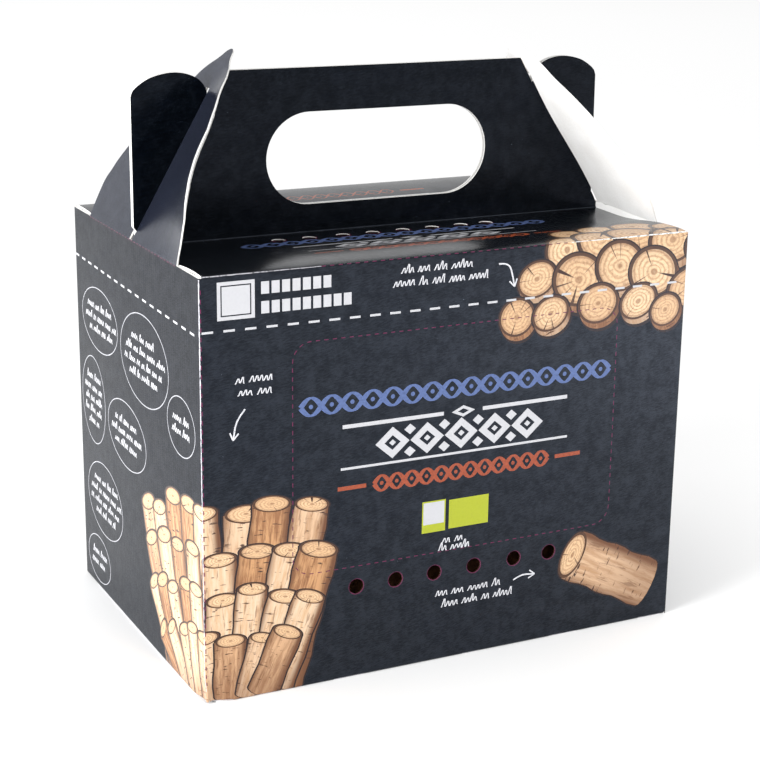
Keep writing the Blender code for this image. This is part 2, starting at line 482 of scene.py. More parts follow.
class Piece:
    """Sheets of card that are joined in one mesh."""

    def __init__(self):
        self.points = []
        self.faces = []
        self.inks = []
        self.uvs = []
        self.normals = []

    def add_face(self, corners, ink, uvs, normals):
        self.faces.append(corners)
        self.inks.append(ink)
        self.uvs += uvs
        self.normals += normals

    def add_sheet(
        self,
        place,
        outline,
        holes=(),
        marks=(),
        cuts_u=(),
        cuts_v=(),
        ground="slate",
        rim="cut_edge",
        edge=EDGE,
    ):
        """place turns (u, v) into a point of the outer face. Cuts are lines that the faces follow.

        rim is the look of the holes' cut edges, and edge is the height of the cut edges.
        """
        outlines = [outline, *holes, *(mark.loop for mark in marks)]
        flat, triangles, origins = parted(outlines, cuts_u, cuts_v)
        shown = []
        for triangle, origin in zip(triangles, origins):
            if 0 in origin and not any(0 < loop <= len(holes) for loop in origin):
                over = max(origin) - len(holes) - 1
                shown.append((triangle, marks[over] if over >= 0 else None))
        boxes = [(Vector(map(min, zip(*hole))), Vector(map(max, zip(*hole)))) for hole in holes]
        self.thicken(place, flat, shown, ground, boxes, rim, edge)

    def thicken(self, place, flat, shown, ground, boxes, rim, edge):
        """Outer face, inner face and cut edges of a sheet."""
        sides = {side for (a, b, c), _ in shown for side in ((a, b), (b, c), (c, a))}
        border = sorted(side for side in sides if side[::-1] not in sides)
        at_border = {i for side in border for i in side}
        outer, inner, normals = {}, {}, {}
        for i in sorted({i for side in sides for i in side}):
            u, v = flat[i]
            point = place(u, v)
            rightward = place(u + NORMAL_STEP, v) - place(u - NORMAL_STEP, v)
            upward = place(u, v + NORMAL_STEP) - place(u, v - NORMAL_STEP)
            normals[i] = rightward.cross(upward).normalized()
            outer[i] = len(self.points)
            inner[i] = outer[i] + 1
            self.points += [point, point - (edge if i in at_border else CARD) * normals[i]]
        for (a, b, c), mark in shown:
            local = mark.local if mark and mark.local else (lambda u, v: (u, v))
            uvs = [local(*flat[i]) for i in (a, b, c)]
            ink = mark.ink if mark else ground
            self.add_face([outer[i] for i in (a, b, c)], ink, uvs, [normals[i] for i in (a, b, c)])
            uvs = [tuple(flat[i]) for i in (c, b, a)]
            self.add_face([inner[i] for i in (c, b, a)], "board", uvs, [-normals[i] for i in (c, b, a)])
        for a, b in border:
            corners = [outer[a], inner[a], inner[b], outer[b]]
            ends = [self.points[i] for i in corners]
            normal = (ends[1] - ends[0]).cross(ends[2] - ends[1]).normalized()
            uvs = [(flat[a][0], 0.0), (flat[a][0], edge), (flat[b][0], edge), (flat[b][0], 0.0)]
            middle = (flat[a] + flat[b]) / 2
            punched = any(low.x < middle.x < high.x and low.y < middle.y < high.y for low, high in boxes)
            self.add_face(corners, rim if punched else "cut_edge", uvs, [normal] * 4)

    def finish(self, name, node):
        """Make the object, which stands for the CAD node."""
        used = sorted(set(self.inks))
        made = add_mesh(name, [MM * p for p in self.points], self.faces, [INKS[ink] for ink in used])
        mesh = made.data
        mesh.polygons.foreach_set("material_index", [used.index(ink) for ink in self.inks])
        mesh.polygons.foreach_set("use_smooth", [True] * len(self.faces))
        layer = mesh.uv_layers.new(name="print")
        layer.data.foreach_set("uv", [value for uv in self.uvs for value in uv])
        mesh.normals_split_custom_set([tuple(n) for n in self.normals])
        settle(made, node)


def settle(piece, node):
    """The piece rides on the carton, and stands for a CAD node."""
    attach(piece, "root")
    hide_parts(node)


# Materials


class Value:
    """A number or colour from a material's nodes. Sums with it add nodes."""

    def __init__(self, look, socket):
        self.look = look
        self.socket = socket

    def __add__(self, other):
        return self.look.math("ADD", self, other)

    def __radd__(self, other):
        return self.look.math("ADD", other, self)

    def __sub__(self, other):
        return self.look.math("SUBTRACT", self, other)

    def __rsub__(self, other):
        return self.look.math("SUBTRACT", other, self)

    def __mul__(self, other):
        return self.look.math("MULTIPLY", self, other)

    def __truediv__(self, other):
        return self.look.math("DIVIDE", self, other)


class Look:
    """A material, with short calls for the nodes that it uses."""

    def __init__(self, name, roughness, specular=0.5):
        self.material = bpy.data.materials.new(name)
        self.material.use_nodes = True
        self.tree = self.material.node_tree
        self.set("Roughness", roughness)
        self.set("Specular IOR Level", specular)

    def give(self, socket, value):
        if isinstance(value, Value):
            self.tree.links.new(value.socket, socket)
        else:
            socket.default_value = value

    def set(self, name, value):
        """Give the surface a plain value, or one from nodes."""
        self.give(self.tree.nodes["Principled BSDF"].inputs[name], value)

    def add(self, kind, links=(), output=0, **settings):
        """An output of a new node. links maps its input names or numbers to values."""
        node = self.tree.nodes.new("ShaderNode" + kind)
        for key, value in settings.items():
            setattr(node, key, value)
        for key, value in dict(links).items():
            self.give(node.inputs[key], value)
        return Value(self, node.outputs[output])

    def print_place(self):
        return self.add("UVMap", uv_map="print")

    def stretched(self, place, scale, turn=0.0):
        """Coordinates turned about the sheet's normal, then scaled."""
        spun = self.add("VectorRotate", {0: place, "Angle": math.radians(turn)}, rotation_type="Z_AXIS")
        return self.add("VectorMath", {0: spun, 1: scale}, operation="MULTIPLY")

    def noise(self, place, scale, detail=3.0, roughness=0.5, distortion=0.0):
        links = {"Vector": place, "Scale": scale, "Detail": detail, "Roughness": roughness}
        return self.add("TexNoise", {**links, "Distortion": distortion})

    def between(self, value, low, high, out_low=0.0, out_high=1.0):
        """The value's place between low and high, smoothed, from out_low to out_high."""
        links = {"Value": value, "From Min": low, "From Max": high, "To Min": out_low, "To Max": out_high}
        return self.add("MapRange", links, interpolation_type="SMOOTHSTEP")

    def math(self, operation, a, b=0.0):
        return self.add("Math", {0: a, 1: b}, operation=operation)

    def blend(self, share, a, b):
        """Colour from a to b."""
        node = self.add("Mix", {"Factor": share}, data_type="RGBA").socket.node
        for socket, colour in zip((s for s in node.inputs if s.type == "RGBA"), (a, b)):
            self.give(socket, colour if isinstance(colour, Value) else (*colour, 1.0))
        return Value(self, next(s for s in node.outputs if s.type == "RGBA"))

    def laid(self, colour, other, value, low, high, share=1.0):
        """colour with other laid over it, by up to share, where the value goes from low to high."""
        return self.blend(self.between(value, low, high, 0.0, share), colour, other)

    def emboss(self, height, depth):
        """Bump. depth is in metres for a height from 0 to 1."""
        self.set("Normal", self.add("Bump", {"Height": height, "Strength": 1.0, "Distance": depth}))

    def split(self, place):
        """(across, up) of a place."""
        node = self.add("SeparateXYZ", {0: place}).socket.node
        return [Value(self, node.outputs[i]) for i in range(2)]

    def join(self, across, up, depth):
        return self.add("CombineXYZ", {0: across, 1: up, 2: depth})

    def drawing_place(self, place):
        """Local (across, up) of a numbered drawing, and a chance value from 0 to 1 of its own."""
        across, height = self.split(place)
        number = self.math("FLOOR", height / LOG_STEP)
        foot = (number + 0.5) * LOG_STEP
        chance = self.add("TexWhiteNoise", {"W": number}, noise_dimensions="1D")
        return across, height - foot, chance


def flute_wave(look, across):
    """Wave of the flutes inside the card, from -1 to 1."""
    return look.math("SINE", across * (2 * math.pi / FLUTE_PITCH))


def laminated(name):
    """A look with what all inks share: satin film over card, with fine grain and faint ribs."""
    look = Look(name, LAMINATE_ROUGHNESS, FILM_GLOSS)
    look.set("Specular Tint", (*FILM_TINT, 1.0))
    place = look.print_place()
    grain = look.noise(place, 1.6, 4.0, 0.6)
    soft = look.noise(place, 0.05, 2.0)
    flutes = flute_wave(look, look.split(place)[0])
    look.emboss(grain * 0.6 + flutes * FLUTE_SHOW, LAMINATE_RELIEF)
    low, high = (LAMINATE_ROUGHNESS + step for step in (-0.01, 0.01))
    look.set("Roughness", look.between(soft, 0.3, 0.7, low, high))
    return look, place


FLUTE_PITCH = 2.4
FLUTE_SHOW = 0.10
LAMINATE_RELIEF = 0.00003
LAMINATE_ROUGHNESS = 0.24
FILM_TINT = (0.68, 0.78, 1.0)
FILM_GLOSS = 0.41
NO_PAINTED_LIGHT = (0.0, 0.0, 0.0)


def slate_ground(name, lift=NO_PAINTED_LIGHT, gloss=FILM_GLOSS):
    """Near-black print of slate: slanting streaks, blue and green drifts, and pale specks.

    lift is added to its colours: painted light, which gives a lighter copy of the slate for sheets that
    catch more light.
    """
    blue, green, painted_shade, pale = (
        tuple(c + more for c, more in zip(colour, lift))
        for colour in (SLATE_BLUE, SLATE_GREEN, SLATE_DARK, SLATE_PALE)
    )
    look, place = laminated(name)
    drift = look.noise(place, 0.022, 3.0, 0.6)
    colour = look.laid(blue, green, drift, 0.35, 0.65)
    streaks = look.noise(look.stretched(place, (0.10, 0.9, 1.0), SLATE_SLANT), 1.0, 5.0, 0.65)
    colour = look.laid(colour, painted_shade, streaks, 0.36, 0.64)
    hatch = look.noise(look.stretched(place, (0.40, 2.0, 1.0), SLATE_SLANT), 1.0, 3.0, 0.7)
    clouds = look.noise(place, 0.16, 4.0, 0.6)
    texture = hatch * 0.6 + clouds * 0.4
    colour = look.laid(colour, pale, texture, 0.48, 0.66, 0.8)
    specks = look.noise(place, 1.1, 1.0)
    rare = look.noise(place, 0.13, 1.0)
    speck = look.between(specks, 0.77, 0.82) * look.between(rare, 0.52, 0.62)
    look.set("Base Color", look.blend(speck, colour, SLATE_SPECK))
    look.set("Specular IOR Level", look.between(texture, 0.38, 0.62, gloss * 0.70, gloss * 1.30))
    return look.material


SLATE_SLANT = -10.0
SLATE_BLUE = (0.0008, 0.0016, 0.0036)
SLATE_GREEN = (0.0011, 0.0019, 0.0026)
SLATE_DARK = (0.0005, 0.0009, 0.0015)
SLATE_PALE = (0.0045, 0.0062, 0.0092)
SLATE_SPECK = (0.10, 0.12, 0.15)
# Painted light: added to the slate of the flaps, standing in for the light and sheen that the leaning flaps
# catch
FLAP_PAINTED_LIGHT = (0.0100, 0.0115, 0.0190)
# Painted sheen: added to the slate of the side walls, a bluer copy standing in for the reflection they
# catch at a slant
SIDE_PAINTED_SHEEN = (0.0004, 0.0014, 0.0044)
SIDE_GLOSS = 0.12
HANDLE_GLOSS = 0.18


def flat_ink(name, colour, speckle, darker):
    """Solid ink, a little mottled as it is on card."""
    look, place = laminated(name)
    mottle = look.noise(place, 0.9, 4.0, 0.7)
    shade = tuple(darker * c for c in colour)
    look.set("Base Color", look.laid(colour, shade, mottle, 0.40, 0.75, speckle))
    return look.material


# Colour, share of the speckles, and how dark they are beside it
FLAT_INKS = {
    "white": ((0.53, 0.53, 0.55), 0.30, 0.85),
    "blue": ((0.095, 0.140, 0.310), 0.80, 0.6),
    "orange": ((0.330, 0.068, 0.023), 0.80, 0.6),
    "green": ((0.380, 0.418, 0.018), 0.40, 0.8),
    "magenta": ((0.115, 0.012, 0.048), 0.50, 0.7),
    "rind": ((0.085, 0.038, 0.015), 0.90, 0.5),
    "shadow": ((0.022, 0.011, 0.006), 0.50, 0.5),
}


def chalk_ink(name, colour):
    """White that lets the slate through in grains, as chalk does."""
    look, place = laminated(name)
    grains = look.noise(place, 2.1, 3.0, 0.7)
    patches = look.noise(place, 0.35, 2.0)
    gaps = grains + patches * 0.35
    look.set("Base Color", look.laid(colour, CHALK_GAP, gaps, 0.70, 0.90))
    return look.material


CHALK = (0.66, 0.66, 0.69)
FAINT_CHALK = (0.40, 0.40, 0.43)
CHALK_GAP = (0.14, 0.15, 0.17)


def cracked_fold():
    """Where the print has broken along a fold, and the white card shows in it."""
    look = Look("cracked", 0.6)
    breaks = look.noise(look.stretched(look.print_place(), (0.5, 1.6, 1.0)), 1.0, 4.0, 0.7)
    look.set("Base Color", look.laid(BOARD, SLATE_PALE, breaks, 0.52, 0.60))
    look.emboss(breaks, 0.00008)
    return look.material


def worn_fold():
    """A fold that is only rubbed: the print is thin on it."""
    look = Look("rubbed", 0.5)
    rub = look.noise(look.stretched(look.print_place(), (1.2, 0.35, 1.0)), 1.0, 4.0, 0.7)
    look.set("Base Color", look.laid(SLATE_PALE, RUBBED, rub, 0.34, 0.50))
    return look.material


RUBBED = (0.45, 0.44, 0.48)
BOARD = (0.88, 0.875, 0.86)
BOARD_SHADE = (0.81, 0.80, 0.78)


def white_board():
    """The unprinted inner face: smooth white board with faint fibres."""
    look = Look("board", 0.55, 0.35)
    place = look.print_place()
    cloud = look.noise(place, 0.06, 4.0, 0.6)
    fibres = look.noise(look.stretched(place, (0.5, 2.6, 1.0), 35.0), 1.0, 5.0, 0.75)
    mixed = cloud * 0.5 + fibres * 0.5
    look.set("Base Color", look.laid(BOARD, BOARD_SHADE, mixed, 0.42, 0.62))
    look.emboss(fibres, 0.00003)
    return look.material


def cut_edge():
    """Cut card: two white liners with the fine wave of the flutes between them, and painted shade in the
    hollows between the flutes.
    """
    look = Look("cut_edge", 0.75, 0.2)
    place = look.print_place()
    across, depth = look.split(place)
    middle = EDGE / 2 + flute_wave(look, across) * (EDGE * 0.28)
    off = look.math("ABSOLUTE", depth - middle)
    inside = look.math("ABSOLUTE", depth - EDGE / 2)
    hollow = look.between(off, 0.10 * EDGE, 0.24 * EDGE)
    liner = look.between(inside, 0.30 * EDGE, 0.40 * EDGE)
    torn = look.noise(place, 1.4, 4.0, 0.7)
    # Painted shade: darker in the open hollows between the flutes
    painted_shade = hollow * (1.0 - liner) * look.between(torn, 0.35, 0.75, 0.1, 0.7)
    look.set("Base Color", look.blend(painted_shade, EDGE_WHITE, FLUTE_HOLLOW_SHADE))
    look.emboss(torn, 0.0001)
    return look.material


EDGE_WHITE = (0.86, 0.85, 0.83)
FLUTE_HOLLOW_SHADE = (0.60, 0.57, 0.53)


def punched_rim(name, pale_depth):
    """Wall of a punched hole: white card for a short way, and then painted shade, near black, deeper in the
    hole.
    """
    look = Look(name, 0.8, 0.1)
    place = look.print_place()
    torn = look.noise(place, 1.8, 3.0, 0.7)
    depth = look.split(place)[1] + torn * 0.15
    # Painted shade: the hole's wall darkens deeper in, where the hole is in shade
    look.set("Base Color", look.laid(EDGE_WHITE, PUNCHED_SHADE, depth, pale_depth, pale_depth + 0.12))
    return look.material


PUNCHED_SHADE = (0.020, 0.006, 0.002)


def bark():
    """Bark of a log: darker to both sides, streaked along, with short dark marks across."""
    look, place = laminated("bark")
    across, up, chance = look.drawing_place(place)
    place = look.join(across, up, chance * OWN_PATTERN)
    side = look.math("POWER", look.math("ABSOLUTE", across), 2.2) + across * 0.20
    streak = look.noise(look.stretched(place, (3.2, 0.35, 1.0)), 1.3, 5.0, 0.7)
    pale = look.laid(BARK_CREAM, BARK_BUFF, streak, 0.35, 0.68)
    brown = look.laid(BARK_TAN, BARK_BROWN, streak, 0.38, 0.60)
    lit = look.laid(pale, brown, chance, 0.45, 0.75)
    colour = look.laid(lit, BARK_SHADE, side, 0.15, 1.05)
    furrow = look.noise(look.stretched(place, (6.0, 0.8, 1.0)), 1.0, 4.0, 0.6, 0.4)
    colour = look.laid(colour, BARK_SHADE, furrow, 0.56, 0.66, 0.55)
    marks = look.noise(look.stretched(place, (1.1, 5.0, 1.0)), 1.6, 2.0, 0.5)
    patch = look.noise(place, 0.9, 2.0)
    mark = look.between(marks, 0.62, 0.67) * look.between(patch, 0.42, 0.55)
    colour = look.blend(mark, colour, BARK_MARK)
    look.set("Base Color", look.blend(look.between(up, 0.0, 3.0, 0.45, 0.0), colour, BARK_SHADE))
    return look.material


OWN_PATTERN = 50.0
BARK_CREAM = (0.74, 0.55, 0.38)
BARK_BUFF = (0.60, 0.37, 0.20)
BARK_TAN = (0.54, 0.29, 0.130)
BARK_BROWN = (0.27, 0.12, 0.048)
BARK_SHADE = (0.14, 0.056, 0.020)
BARK_MARK = (0.060, 0.028, 0.014)


def cut_wood():
    """The cut end of a log: growth rings about its middle, and cracks that run outward."""
    look, place = laminated("cut_wood")
    across, up, chance = look.drawing_place(place)
    own = chance * OWN_PATTERN
    place = look.join(across, up, own)
    flat = look.join(across, up, 0.0)
    radius = look.add("VectorMath", {0: flat}, "Value", operation="LENGTH")
    wobble = look.noise(place, 1.4, 3.0)
    rings = look.math("SINE", (radius + wobble * 0.30) * WOOD_RINGS)
    pale = look.blend(chance, WOOD_PALE, WOOD_TAN)
    colour = look.laid(pale, WOOD_RING, rings, -0.3, 1.0, 0.8)
    grain = look.noise(place, 9.0, 4.0, 0.7)
    darker = ((grain, 0.45, 0.72, 0.6), (radius, 0.22, 0.0, 0.7), (radius, 0.55, 1.0, 0.55))
    for value, low, high, share in darker:
        colour = look.laid(colour, WOOD_DARK, value, low, high, share)
    outward = look.add("VectorMath", {0: flat}, operation="NORMALIZE")
    ray = look.add("VectorMath", {0: outward, 1: look.join(0.0, 0.0, own)}, operation="ADD")
    crack = look.noise(ray, 4.5, 2.0, 0.6)
    open_crack = look.between(crack, 0.64, 0.68) * look.between(radius, 0.08, 0.45)
    look.set("Base Color", look.blend(open_crack, colour, WOOD_CRACK))
    return look.material


WOOD_RINGS = 34.0
WOOD_PALE = (0.82, 0.59, 0.36)
WOOD_TAN = (0.68, 0.44, 0.24)
WOOD_RING = (0.50, 0.29, 0.150)
WOOD_DARK = (0.22, 0.10, 0.042)
WOOD_CRACK = (0.045, 0.018, 0.008)


def bag_film():
    """Clear film, drawn tight over a brown block of sawdust with white threads grown through it."""
    look = Look("bag", 0.3)
    place = look.add("TexCoord", output="Object")
    crumbs = look.noise(place, 420.0, 5.0, 0.7)
    growth = look.noise(place, 38.0, 4.0, 0.65, 0.6)
    brown = look.laid(BLOCK_DARK, BLOCK_BROWN, crumbs, 0.35, 0.7)
    look.set("Base Color", look.laid(brown, BLOCK_THREADS, growth, 0.58, 0.75, 0.6))
    look.set("Roughness", look.between(growth, 0.3, 0.7, 0.22, 0.40))
    look.emboss(look.noise(look.stretched(place, (30.0, 30.0, 9.0)), 3.0, 5.0, 0.6, 1.2), 0.0010)
    return look.material


BLOCK_DARK = (0.030, 0.012, 0.006)
BLOCK_BROWN = (0.110, 0.050, 0.024)
BLOCK_THREADS = (0.34, 0.27, 0.20)


INKS = {name: flat_ink(name, *look) for name, look in FLAT_INKS.items()}
INKS |= {
    "slate": slate_ground("slate"),
    # Lit copies of the slate for the flaps and the side walls: painted light
    "flap_slate": slate_ground("flap_slate", FLAP_PAINTED_LIGHT),
    "side_slate": slate_ground("side_slate", SIDE_PAINTED_SHEEN, SIDE_GLOSS),
    "handle_slate": slate_ground("handle_slate", gloss=HANDLE_GLOSS),
    "chalk": chalk_ink("chalk", CHALK),
    "faint_chalk": chalk_ink("faint_chalk", FAINT_CHALK),
    "cracked": cracked_fold(),
    "rubbed": worn_fold(),
    "board": white_board(),
    "cut_edge": cut_edge(),
    "stained_rim": punched_rim("stained_rim", 0.0),
    "pale_rim": punched_rim("pale_rim", 0.40),
    "bark": bark(),
    "wood": cut_wood(),
}


# Where the sheets stand. Each function turns (u, v) into a point of the outer face.

HALF_TURN = Matrix.Rotation(math.pi, 3, "Z")
FLAT_X = SIDE_X - CORNER_RADIUS
SIDE_END = -FRONT_Y - CORNER_RADIUS
BEND = CORNER_RADIUS * math.pi / 2
WALL_END = FLAT_X + BEND
BOTTOM_END = CORNER_RADIUS - BEND
CORNER_SLIT = 0.3
SHOULDER_U = FLAP_FOOT_HALF + 0.7
SHOULDER_RISE = 0.3


def arch(distance, half):
    """1 in the middle, and down to 0 at half away from it."""
    return math.cos(math.pi / 2 * min(abs(distance) / half, 1.0))


def bulge(u, half, v, height):
    """Share of a wall's bulge: 1 in the middle of the wall, 0 at its edges."""
    return arch(u, half) * math.sin(math.pi * max(v, 0.0) / height)


def half_turned(place):
    """The same sheet on the other side of the box."""
    return lambda u, v: HALF_TURN @ place(u, v)


def crushed(place):
    """The lower front corner at the left has been knocked in."""
    corner = Vector((-SIDE_X, FRONT_Y, 0.0))

    def knocked(u, v):
        point = place(u, v)
        near = max(0.0, 1 - ((point - corner).length / CRUSH_RADIUS) ** 2)
        return point + near**2 * CRUSH

    return knocked


def bottom_fold(v):
    """Height, and distance in from the wall, where a wall turns under the box."""
    turn = min(max(CORNER_RADIUS - v, 0.0), BEND) / CORNER_RADIUS
    height = max(v, CORNER_RADIUS) - CORNER_RADIUS * math.sin(turn)
    return height, CORNER_RADIUS * (1 - math.cos(turn))


def long_wall(u, v, left_round=True):
    """Long wall with rounded corners. The back's left end is the glued corner, which is square."""
    over = max(abs(u) - FLAT_X, 0.0) if left_round or u > 0 else 0.0
    turn = min(over, BEND) / CORNER_RADIUS
    x = math.copysign((min(abs(u), FLAT_X) if over else abs(u)) + CORNER_RADIUS * math.sin(turn), u)
    if abs(u) > FLAT_X - CORNER_SLIT / 2:
        z, inward = v, CORNER_RADIUS * (1 - math.cos(turn))
    else:
        z, inward = bottom_fold(v)
    return Vector((x, FRONT_Y - FRONT_BULGE * bulge(u, FLAT_X, v, FOOT_Z) + inward, z))


def flap_half_width(up):
    for (low, wide), (high, narrow) in zip(FLAP_OUTLINE, FLAP_OUTLINE[1:]):
        if up <= high:
            return wide + (narrow - wide) * (up - low) / (high - low)
    return FLAP_OUTLINE[-2][1]


def pushed_out(y, v, depth):
    """How far a side wall, and above TOP_Z its flap, stands out beside the handle."""
    across = arch(y, PUSH_HALF_WIDTH) ** 2
    if v <= TOP_Z:
        return depth * across * (max(v, 0.0) / TOP_Z) ** 2
    low, high = PUSH_FADE
    return depth * across * arch(max(v - TOP_Z - low, 0.0), high - low) ** 2


def left_side(spring, push):
    """Left wall, and above TOP_Z its flap. The flap's front half is sprung out."""
    out = Vector((-math.cos(FLAP_LEAN), 0.0, math.sin(FLAP_LEAN)))
    rise = Vector((math.sin(FLAP_LEAN), 0.0, math.cos(FLAP_LEAN)))

    def place(u, v):
        away = Vector((-pushed_out(u, v, push), 0.0, 0.0))
        if v <= TOP_Z or (abs(u) > SHOULDER_U and v < TOP_Z + SHOULDER_RISE):
            z, inward = bottom_fold(v)
            x = -SIDE_X - SIDE_BULGE * bulge(u, SIDE_END, v, TOP_Z) + inward
            return Vector((x, -u, z)) + away
        up = v - TOP_Z
        point = Vector((-SIDE_X, -u, TOP_Z)) + up * rise + away
        if u > 0 and up < BEND_END:
            swell = spring * math.sin(math.pi * (up / BEND_END) ** BEND_SKEW)
            low, high = HUMP_SPAN
            if spring and low < up < high:
                swell += HUMP_DEPTH * math.sin(math.pi * (up - low) / (high - low)) ** 2
            point += swell * (u / max(flap_half_width(up), 1.0)) ** 2 * out
        if up > TIP_CURL_FROM:
            point -= TIP_CURL * ((up - TIP_CURL_FROM) / (FLAP_LENGTH - TIP_CURL_FROM)) ** 1.5 * out
        return point

    return place


def roof_path():
    """(y, z) down the front half of the roof, from the wall's top to the foot of the handle."""
    fold = arc((FRONT_Y + FOLD_RADIUS, TOP_Z), FOLD_RADIUS, 180, 180 - FOLD_TURN, 8)
    crease = arc((HANDLE_Y - CREASE_RADIUS, HANDLE_FOOT_Z), CREASE_RADIUS, 270, 360, 8)
    middle = [fold[-1], *((FRONT_Y + far, z) for far, z in ROOF_PROFILE), crease[0]]
    return along([(FRONT_Y, FOOT_Z)] + fold[:-1] + smooth_line(middle, 0.2)[:-1] + crease)


FOLD_TURN = 80.0
ROOF_PATH = roof_path()
ROOF_REACHED = [v for _, v in ROOF_PATH]
ROOF_LENGTH = ROOF_REACHED[-1]
FOLD_V = TOP_Z - FOOT_Z
FOLD_LENGTH = FOLD_RADIUS * math.radians(FOLD_TURN)


def front_half_roof(u, v):
    i = min(max(bisect_left(ROOF_REACHED, v), 1), len(ROOF_PATH) - 1)
    (a, va), (b, vb) = ROOF_PATH[i - 1], ROOF_PATH[i]
    share = min(max((v - va) / (vb - va), 0.0), 1.0)
    return Vector((u, a[0] + (b[0] - a[0]) * share, a[1] + (b[1] - a[1]) * share))


def roof_v(distance):
    """The roof's v at a distance behind the front face."""
    return next(v for (y, _), v in ROOF_PATH if y >= FRONT_Y + distance)


def handle_bow(x, z):
    """Both handle panels lean a little, most at the middle of their upper edge."""
    height = (z - HANDLE_FOOT_Z) / (HANDLE_TOP_Z - HANDLE_FOOT_Z)
    return HANDLE_BOW * arch(x, HANDLE_BOW_HALF) ** 2 * height


def front_half_handle(u, v):
    return Vector((u, HANDLE_Y - handle_bow(u, v), v))


def rear_half_handle(u, v):
    return Vector((-u, -HANDLE_Y - handle_bow(u, v), v))


def underside(depth):
    """Sheets of the bottom, seen from below, this far above the ground."""
    return lambda u, v: Vector((u, -v, depth))


# Outlines of the sheets


def two_ends(right, left):
    """Closed outline from its two ends, which run upward. The left end is given mirrored."""
    return list(right) + [(-u, v) for u, v in reversed(left)]


def wall_outline(left_end=WALL_END):
    """Long wall: slits part its ends from the fold under the box, and they stand up beside the roof."""
    slit = FLAT_X - CORNER_SLIT
    foot = [(slit, BOTTOM_END), (slit, CORNER_RADIUS), (FLAT_X, CORNER_RADIUS), (FLAT_X, 0.0)]
    tab = [(ROOF_X, TOP_Z), (ROOF_X, FOOT_Z)]
    ends = [[*foot, (end, 0.0), (end, TOP_Z), *tab] for end in (WALL_END, left_end)]
    return two_ends(*ends)


def side_outline(right_end=SIDE_END):
    """Side wall, up to its shoulders."""
    return [(-SIDE_END, BOTTOM_END), (right_end, BOTTOM_END), (right_end, TOP_Z), (-SIDE_END, TOP_Z)]


def flap_outline():
    """Flap with the slot for the handle."""
    curve = smooth_line([(wide, TOP_Z + up) for up, wide in FLAP_OUTLINE], 2.0)
    slot = FLAP_SLOT_HALF_WIDTH
    right = [(slot, TOP_Z), *curve]
    left = [(-u, v) for u, v in reversed(curve[:-1])]
    top = TOP_Z + FLAP_SLOT_TOP
    return right + left + [(-slot, TOP_Z), (-slot, top), (slot, top)]


def flap_inner_x(z):
    """Distance of the flap's inner face from the middle plane, at a height."""
    foot_x = SIDE_X - CARD * math.cos(FLAP_LEAN)
    foot_z = TOP_Z - CARD * math.sin(FLAP_LEAN)
    return foot_x - math.tan(FLAP_LEAN) * (z - foot_z)


def handle_outline(pushed):
    """Handle panel: ears past the flaps, and notches that hold the flaps' tips.

    pushed is 1 or -1, for the end at the wall that is pushed out.
    """
    clearance = FLAP_CLEARANCE / math.cos(FLAP_LEAN)
    upper = smooth_line(EAR, 1.2) + [(flap_inner_x(z) - clearance, z) for z in (NOTCH_FOOT_Z, HANDLE_TOP_Z)]
    feet = (HANDLE_PUSHED_FOOT, HANDLE_FOOT)[::pushed]
    return two_ends(*([*foot, *upper] for foot in feet))


def hand_hole(pushed):
    half = HAND_HOLE_WIDTH / 2
    middle = pushed * HAND_HOLE_MIDDLE
    radius = (HAND_HOLE_Z[1] - HAND_HOLE_Z[0]) / 2
    return soft_box((middle - half, HAND_HOLE_Z[0]), (middle + half, HAND_HOLE_Z[1]), radius - 0.01, 14)


def roof_outline(pushed):
    """Half of the roof. pushed is 1 or -1, for the end at the wall that is pushed out."""
    heights = [0.0, *every(3.0, 0.0, ROOF_LENGTH), ROOF_LENGTH]
    ends = []
    for depth in (PUSH_DEPTH, 0.0)[::pushed]:
        ends.append([(ROOF_X + pushed_out(front_half_roof(0.0, v).y, TOP_Z, depth), v) for v in heights])
    return two_ends(*ends)


def every(step, low, high):
    """Even places between two ends, neither included."""
    count = max(1, round((high - low) / step))
    return [low + (high - low) * i / count for i in range(1, count)]


# Print. The drawings of the front run on over the roof, where v starts again at 0.


def bar(low, high, ink="white"):
    return Mark([low, (high[0], low[1]), high, (low[0], high[1])], ink)


def lozenges(u, v, *halves):
    """Lozenges inside each other, in white and slate by turns. halves are (half width, half height)."""
    marks = []
    for i, (across, up) in enumerate(halves):
        loop = [(u - across, v), (u, v - up), (u + across, v), (u, v + up)]
        marks.append(Mark(loop, ("white", "slate")[i % 2]))
    return marks


def brush(t, thin, thick, waves):
    """Width of a brush line that is thick on its slopes and thin at its turns."""
    return thin + (thick - thin) * abs(math.cos(2 * math.pi * waves * t))


def braid(u0, u1, v, height, waves, thin, thick, ink):
    """Two brush waves that cross, with a dot in each loop."""
    period = (u1 - u0) / waves
    marks = []
    for swing in (height, -height):
        marks.append(stroke(wave(u0, u1, v, swing, period), lambda t: brush(t, thin, thick, waves), ink))
    for i in range(2 * waves):
        marks.append(Mark(ring((u0 + period * (i + 0.5) / 2, v), thick * 0.42, 16), ink))
    return marks


